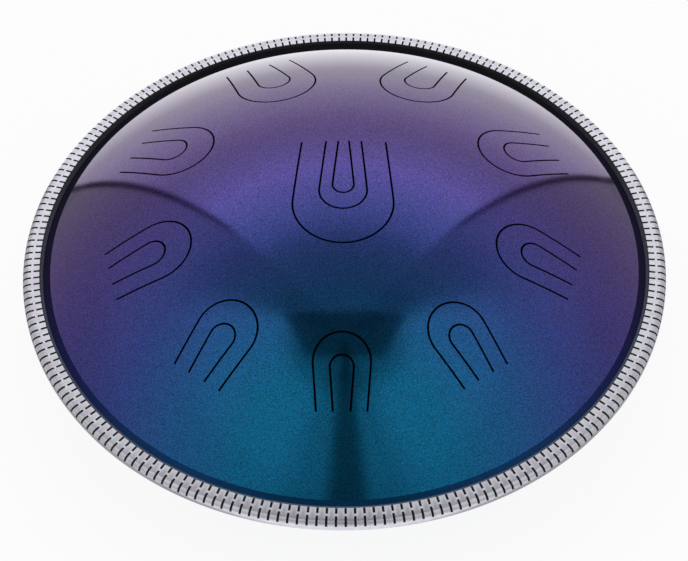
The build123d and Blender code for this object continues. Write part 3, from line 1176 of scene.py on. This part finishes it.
class DRUM_OT_stage(bpy.types.Operator):
    """Sets up the camera, the pale floor, the light tent and the view"""

    bl_idname = "drum.stage"
    bl_label = "Stage"

    def execute(self, context):
        scene = context.scene
        scene.view_settings.view_transform = "Standard"
        self.camera(scene)
        self.floor(scene)
        self.world(scene)
        return {"FINISHED"}

    def camera(self, scene):
        size = stage()
        level = math.cos(size.elevation)
        back = Vector((math.sin(size.azimuth) * level, -math.cos(size.azimuth) * level, 0.0))
        back.z = math.sin(size.elevation)
        lens = bpy.data.cameras.new("camera")
        lens.lens = size.lens
        lens.shift_y = size.shift_y
        lens.clip_start = 0.01
        lens.clip_end = 100.0
        made = bpy.data.objects.new("camera", lens)
        made.location = Vector((0.0, 0.0, shells().seam)) + back * size.distance
        upright = back.to_track_quat("Z", "Y").to_matrix()
        made.rotation_euler = (upright @ Matrix.Rotation(size.roll, 3, "Z")).to_euler()
        scene.collection.objects.link(made)
        scene.camera = made

    def floor(self, scene):
        """Paper that looks white to the camera, has a painted shadow under the drum and mirrors as the tent's
        floor.
        """
        bm = bmesh.new()
        bmesh.ops.create_grid(bm, x_segments=1, y_segments=1, size=8.0)
        floor = new_object("floor", bm)
        white = stage().floor
        made, nodes, shader = surface("floor_paper", Roughness=0.9, Specular_IOR_Level=0.0)
        path = nodes.add("ShaderNodeLightPath")
        seen = nodes.math("MAXIMUM", path.outputs["Is Camera Ray"], path.outputs["Is Glossy Ray"])
        away = nodes.off_axis()
        open_floor = nodes.spread(away, 0.0, 0.85, 0.1, 0.15)
        # Painted shadow: the paper darkens to near black under the drum
        painted_shadow = nodes.ramp(away, ((0.05, times(white, 0.03)), (0.13, white)))
        nodes.join(painted_shadow, shader.inputs["Base Color"])
        split = nodes.add("ShaderNodeSeparateXYZ")
        nodes.join(nodes.place, split.inputs[0])
        turn = nodes.tent_turn(split.outputs[0], nodes.math("ADD", split.outputs[1], FLOOR_APEX))
        near = nodes.spread(away, 1.4, 1.1, 0.4, 0.9)
        behind = nodes.level(nodes.fade(turn, 0.0, 1.0, CORNER_FADE), near, 0.4)
        before = nodes.fade(turn, 0.0, 0.6, (100.0, 140.0))
        mirrored = nodes.math("ADD", nodes.math("MULTIPLY", behind, nodes.tent_seam(turn)), before)
        glow = nodes.add("ShaderNodeEmission")
        glow.inputs["Color"].default_value = (*white, 1.0)
        strength = nodes.level(path.outputs["Is Camera Ray"], mirrored, CAMERA_LEVEL)
        nodes.join(strength, glow.inputs["Strength"])
        paper = nodes.between(nodes.math("MULTIPLY", seen, open_floor), shader.outputs[0], glow.outputs[0])
        below = nodes.add("ShaderNodeNewGeometry").outputs["Backfacing"]
        clear = nodes.add("ShaderNodeBsdfTransparent").outputs[0]
        output = made.node_tree.nodes["Material Output"]
        nodes.join(nodes.between(below, paper, clear), output.inputs["Surface"])
        floor.data.materials.append(made)

    def world(self, scene):
        """A light tent: bright back wall, dimmer sides, front wall with a gap and dark opening overhead."""
        world = bpy.data.worlds.new("light_tent")
        world.use_nodes = True
        nodes = Nodes(world.node_tree)
        split = nodes.add("ShaderNodeSeparateXYZ")
        across, along, up = split.outputs
        nodes.join(nodes.add("ShaderNodeTexCoord").outputs["Generated"], split.inputs[0])
        turn = nodes.tent_turn(across, along)
        height = nodes.math("ARCSINE", up)

        def wall(levels):
            """Brightness up a wall, from pairs of a height in degrees and a level."""
            stops = [((degrees + 90) / 180, (level, level, level)) for degrees, level in levels]
            return nodes.ramp(nodes.spread(height, 0.0, 1.0, -math.pi / 2, math.pi / 2), stops)

        tent = nodes.mix(nodes.fade(turn, 0.0, 1.0, CORNER_FADE), wall(BACK_WALL), wall(SIDE_WALL))
        tent = nodes.mix(nodes.fade(turn, 0.0, 1.0, FRONT_FADE), tent, wall(FRONT_WALL))
        seam = nodes.math("MAXIMUM", nodes.tent_seam(turn), nodes.fade(height, 0.0, 1.0, SEAM_END))
        dusk = nodes.fade(turn, 1.0, 0.7, DUSK_FADE)
        gap = nodes.math("MULTIPLY", dusk, nodes.fade(turn, 1.0, 0.3, GAP_FADE))
        gap = nodes.math("MAXIMUM", gap, nodes.fade(height, 1.0, 0.0, GAP_FOOT))
        aside = nodes.math("ABSOLUTE", nodes.math("DIVIDE", across, up))
        ahead = nodes.math("DIVIDE", along, up)
        wide = nodes.math("SUBTRACT", aside, nodes.math("MULTIPLY_ADD", ahead, OPENING_FLARE, OPENING_HALF))
        within = nodes.spread(wide, 1.0, 0.0, -OPENING_SOFT, OPENING_SOFT, "SMOOTHSTEP")
        for edge, low, high in ((OPENING_BACK, 1.0, 0.0), (OPENING_FRONT, 0.0, 1.0)):
            within = nodes.math("MULTIPLY", within, nodes.spread(ahead, low, high, *edge, "SMOOTHSTEP"))
        overhead = nodes.spread(within, 1.0, OPENING_LEVEL)
        tent = nodes.shade(tent, nodes.math("MULTIPLY", nodes.math("MULTIPLY", seam, gap), overhead))
        light = nodes.add("ShaderNodeBackground")
        nodes.join(tent, light.inputs["Color"])
        white = nodes.add("ShaderNodeBackground")
        white.inputs["Color"].default_value = (*stage().floor, 1.0)
        seen = nodes.add("ShaderNodeLightPath").outputs["Is Camera Ray"]
        output = nodes.add("ShaderNodeOutputWorld")
        nodes.join(nodes.between(seen, light.outputs[0], white.outputs[0]), output.inputs["Surface"])
        scene.world = world


class DRUM_PT_panel(bpy.types.Panel):
    """Lists the drum's operators and sizes"""

    bl_label = "Steel Tongue Drum"
    bl_idname = "DRUM_PT_panel"
    bl_space_type = "VIEW_3D"
    bl_region_type = "UI"
    bl_category = "Drum"

    def draw(self, context):
        for operator in OPERATORS:
            self.layout.operator(operator.bl_idname)
        for name in GROUPS:
            settings = getattr(context.scene, name)
            box = self.layout.box()
            for key in settings.__annotations__:
                box.prop(settings, key)


GROUPS = {
    "drum_shells": DrumShells,
    "drum_notes": DrumNotes,
    "drum_trim": DrumTrim,
    "drum_feet": DrumFeet,
    "drum_finish": DrumFinish,
    "drum_stage": DrumStage,
}
OPERATORS = (
    DRUM_OT_top_shell,
    DRUM_OT_tongues,
    DRUM_OT_bottom_shell,
    DRUM_OT_rim_trim,
    DRUM_OT_trim_liner,
    DRUM_OT_feet,
    DRUM_OT_hardware,
    DRUM_OT_stage,
)


def register():
    for name, group in GROUPS.items():
        bpy.utils.register_class(group)
        setattr(bpy.types.Scene, name, PointerProperty(type=group))
    for item in (*OPERATORS, DRUM_PT_panel):
        bpy.utils.register_class(item)


def unregister():
    for item in (DRUM_PT_panel, *reversed(OPERATORS)):
        bpy.utils.unregister_class(item)
    for name, group in GROUPS.items():
        delattr(bpy.types.Scene, name)
        bpy.utils.unregister_class(group)


def main():
    """Builds every piece in order."""
    register()
    bpy.ops.drum.top_shell()
    bpy.ops.drum.tongues()
    bpy.ops.drum.bottom_shell()
    bpy.ops.drum.rim_trim()
    bpy.ops.drum.trim_liner()
    bpy.ops.drum.feet()
    bpy.ops.drum.hardware()
    bpy.ops.drum.stage()


if __name__ == "__main__":
    main()
